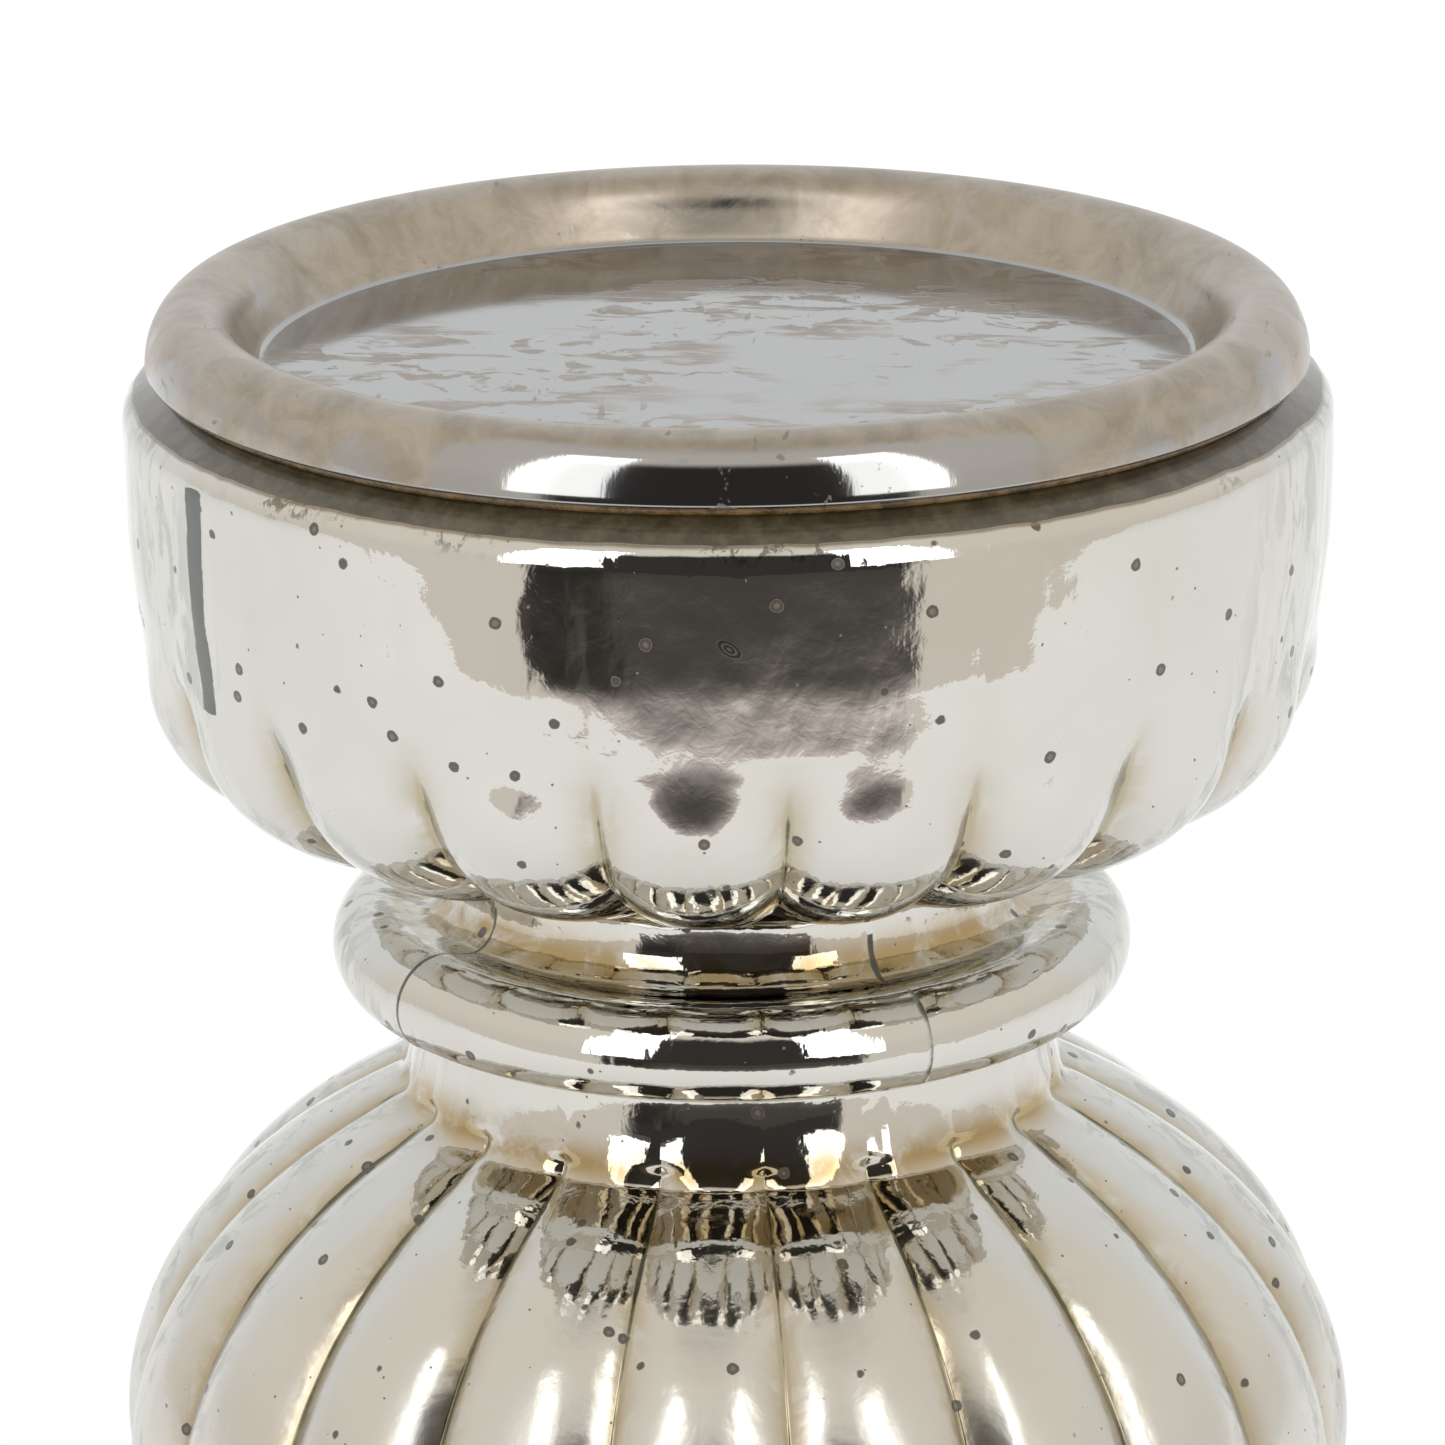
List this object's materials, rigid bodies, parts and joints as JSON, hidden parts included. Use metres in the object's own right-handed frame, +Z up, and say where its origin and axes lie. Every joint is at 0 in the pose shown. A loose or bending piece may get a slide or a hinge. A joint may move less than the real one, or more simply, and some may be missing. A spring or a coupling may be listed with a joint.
{
  "type": "tealight holder",
  "caption": "Ribbed silvered-glass candle holder: a lobed cup with a rolled-rim metal pan, on a ringed neck, a melon-shaped body and a domed foot.",
  "frame": {"origin": "centre of the underside of the felt pad, on the surface the holder stands on", "axes": "+Z up along the holder's axis of revolution; -Y is the side the groove between two lobes faces"},
  "size_m": [0.1056, 0.1056, 0.1692],
  "materials": {
    "silvered_glass": "clear glass over tarnished antique silver",
    "silver_backing": "matt grey backing lacquer over silver",
    "pan_metal": "polished nickel with brown tarnish",
    "amber_adhesive": "cured, glossy, amber brown",
    "felt": "short dark felt"
  },
  "bodies": {
    "root": {"glass_body": "silvered_glass", "silver_lining": "silver_backing", "candle_pan": "pan_metal", "rim_seal": "amber_adhesive", "felt_pad": "felt"}
  },
  "joints": []
}
